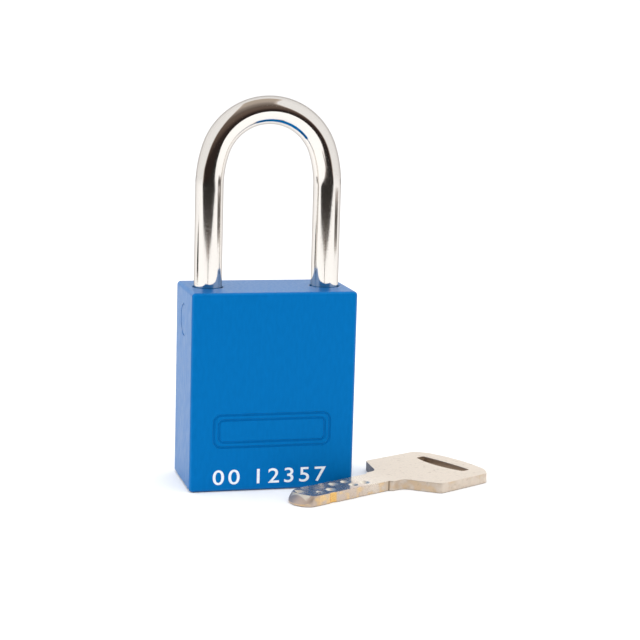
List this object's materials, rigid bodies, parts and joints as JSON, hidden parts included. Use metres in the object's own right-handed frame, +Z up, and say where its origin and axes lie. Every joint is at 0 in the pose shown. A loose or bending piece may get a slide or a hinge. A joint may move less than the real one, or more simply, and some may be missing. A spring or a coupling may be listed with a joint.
{
  "type": "keyed safety padlock",
  "caption": "Rectangular anodised safety padlock with a tall round steel shackle held by locking balls, a dimple key cylinder, and its key lying beside it.",
  "frame": {"origin": "centre of the body's top face, midway between the shackle's legs", "axes": "+Z up along the shackle's legs, -Y out of the front face, +X towards the heel leg"},
  "size_m": [0.0714, 0.036, 0.0886],
  "materials": {
    "lock_body": "blue anodised, satin",
    "ball_bore_plug": "blue anodised, satin",
    "shackle": "polished chrome plate on hardened steel",
    "shackle_spring": "spring steel",
    "cam_spring": "spring steel",
    "pin_spring": "stainless spring wire",
    "locking_ball": "polished bearing steel",
    "locking_cam": "hardened steel",
    "cylinder_shell": "machined brass, satin nickel plate",
    "cylinder_plug": "machined brass, satin nickel plate",
    "pin_chamber_cover": "rolled brass strip",
    "plug_clip": "spring steel",
    "cylinder_retaining_screw": "zinc plated steel",
    "key_pin": "turned brass",
    "driver_pin": "turned nickel silver",
    "key": "stamped nickel silver"
  },
  "bodies": {
    "case": {"lock_body": "lock_body", "ball_bore_plug": "ball_bore_plug", "cylinder_shell": "cylinder_shell", "pin_chamber_cover": "pin_chamber_cover", "cylinder_retaining_screw": "cylinder_retaining_screw", "shackle_spring": "shackle_spring", "cam_spring": "cam_spring", "pin_spring_1": "pin_spring", "pin_spring_2": "pin_spring", "pin_spring_3": "pin_spring", "pin_spring_4": "pin_spring", "pin_spring_5": "pin_spring", "pin_spring_6": "pin_spring", "pin_spring_7": "pin_spring"},
    "shackle": {"shackle": "shackle"},
    "core": {"cylinder_plug": "cylinder_plug", "plug_clip": "plug_clip"},
    "cam": {"locking_cam": "locking_cam"},
    "toe_ball": {"locking_ball_toe": "locking_ball"},
    "heel_ball": {"locking_ball_heel": "locking_ball"},
    "key": {"key": "key"},
    "key_pin_1": {"key_pin_1": "key_pin"},
    "key_pin_2": {"key_pin_2": "key_pin"},
    "key_pin_3": {"key_pin_3": "key_pin"},
    "key_pin_4": {"key_pin_4": "key_pin"},
    "key_pin_5": {"key_pin_5": "key_pin"},
    "key_pin_6": {"key_pin_6": "key_pin"},
    "key_pin_7": {"key_pin_7": "key_pin"},
    "driver_pin_1": {"driver_pin_1": "driver_pin"},
    "driver_pin_2": {"driver_pin_2": "driver_pin"},
    "driver_pin_3": {"driver_pin_3": "driver_pin"},
    "driver_pin_4": {"driver_pin_4": "driver_pin"},
    "driver_pin_5": {"driver_pin_5": "driver_pin"},
    "driver_pin_6": {"driver_pin_6": "driver_pin"},
    "driver_pin_7": {"driver_pin_7": "driver_pin"}
  },
  "joints": [
    {"name": "shackle_lift", "type": "slide", "parent": "case", "child": "shackle", "axis": [0, 0, 1], "range_m": [0, 0.0132], "deforming": ["shackle_spring"]},
    {"name": "cylinder_turn", "type": "hinge", "parent": "case", "child": "core", "pos_m": [0, 0, -0.0317], "axis": [0, 0, 1], "range_deg": [0, 90]},
    {"name": "cam_turn", "type": "hinge", "parent": "case", "child": "cam", "pos_m": [0, 0, -0.0075], "axis": [0, 0, 1], "range_deg": [-90, 0], "deforming": ["cam_spring"]},
    {"name": "toe_ball_travel", "type": "slide", "parent": "case", "child": "toe_ball", "axis": [1, 0, 0], "range_m": [-0.0012, 0]},
    {"name": "heel_ball_travel", "type": "slide", "parent": "case", "child": "heel_ball", "axis": [1, 0, 0], "range_m": [0, 0.0006]},
    {"name": "key_lift", "type": "slide", "parent": "case", "child": "key", "axis": [0, 0, 1], "range_m": [0, 0.06]},
    {"name": "key_pin_1_travel", "type": "slide", "parent": "core", "child": "key_pin_1", "axis": [-1, 0, 0], "range_m": [-0.0012, 0]},
    {"name": "key_pin_2_travel", "type": "slide", "parent": "core", "child": "key_pin_2", "axis": [-1, 0, 0], "range_m": [-0.00155, 0]},
    {"name": "key_pin_3_travel", "type": "slide", "parent": "core", "child": "key_pin_3", "axis": [-1, 0, 0], "range_m": [-0.0012, 0]},
    {"name": "key_pin_4_travel", "type": "slide", "parent": "core", "child": "key_pin_4", "axis": [-1, 0, 0], "range_m": [-0.0012, 0]},
    {"name": "key_pin_5_travel", "type": "slide", "parent": "core", "child": "key_pin_5", "axis": [-1, 0, 0], "range_m": [-0.00135, 0]},
    {"name": "key_pin_6_travel", "type": "slide", "parent": "core", "child": "key_pin_6", "axis": [-1, 0, 0], "range_m": [-0.00135, 0]},
    {"name": "key_pin_7_travel", "type": "slide", "parent": "core", "child": "key_pin_7", "axis": [-1, 0, 0], "range_m": [-0.0012, 0]},
    {"name": "driver_pin_1_travel", "type": "slide", "parent": "case", "child": "driver_pin_1", "axis": [-1, 0, 0], "range_m": [-0.0012, 0], "deforming": ["pin_spring_1"]},
    {"name": "driver_pin_2_travel", "type": "slide", "parent": "case", "child": "driver_pin_2", "axis": [-1, 0, 0], "range_m": [-0.00155, 0], "deforming": ["pin_spring_2"]},
    {"name": "driver_pin_3_travel", "type": "slide", "parent": "case", "child": "driver_pin_3", "axis": [-1, 0, 0], "range_m": [-0.0012, 0], "deforming": ["pin_spring_3"]},
    {"name": "driver_pin_4_travel", "type": "slide", "parent": "case", "child": "driver_pin_4", "axis": [-1, 0, 0], "range_m": [-0.0012, 0], "deforming": ["pin_spring_4"]},
    {"name": "driver_pin_5_travel", "type": "slide", "parent": "case", "child": "driver_pin_5", "axis": [-1, 0, 0], "range_m": [-0.00135, 0], "deforming": ["pin_spring_5"]},
    {"name": "driver_pin_6_travel", "type": "slide", "parent": "case", "child": "driver_pin_6", "axis": [-1, 0, 0], "range_m": [-0.00135, 0], "deforming": ["pin_spring_6"]},
    {"name": "driver_pin_7_travel", "type": "slide", "parent": "case", "child": "driver_pin_7", "axis": [-1, 0, 0], "range_m": [-0.0012, 0], "deforming": ["pin_spring_7"]}
  ],
  "couplings": [
    {"joint": "cam_turn", "follows": "toe_ball_travel", "rad_per_m": 1309},
    {"joint": "heel_ball_travel", "follows": "toe_ball_travel", "ratio": -0.5},
    {"joint": "driver_pin_1_travel", "follows": "key_pin_1_travel", "ratio": 1},
    {"joint": "driver_pin_2_travel", "follows": "key_pin_2_travel", "ratio": 1},
    {"joint": "driver_pin_3_travel", "follows": "key_pin_3_travel", "ratio": 1},
    {"joint": "driver_pin_4_travel", "follows": "key_pin_4_travel", "ratio": 1},
    {"joint": "driver_pin_5_travel", "follows": "key_pin_5_travel", "ratio": 1},
    {"joint": "driver_pin_6_travel", "follows": "key_pin_6_travel", "ratio": 1},
    {"joint": "driver_pin_7_travel", "follows": "key_pin_7_travel", "ratio": 1}
  ]
}
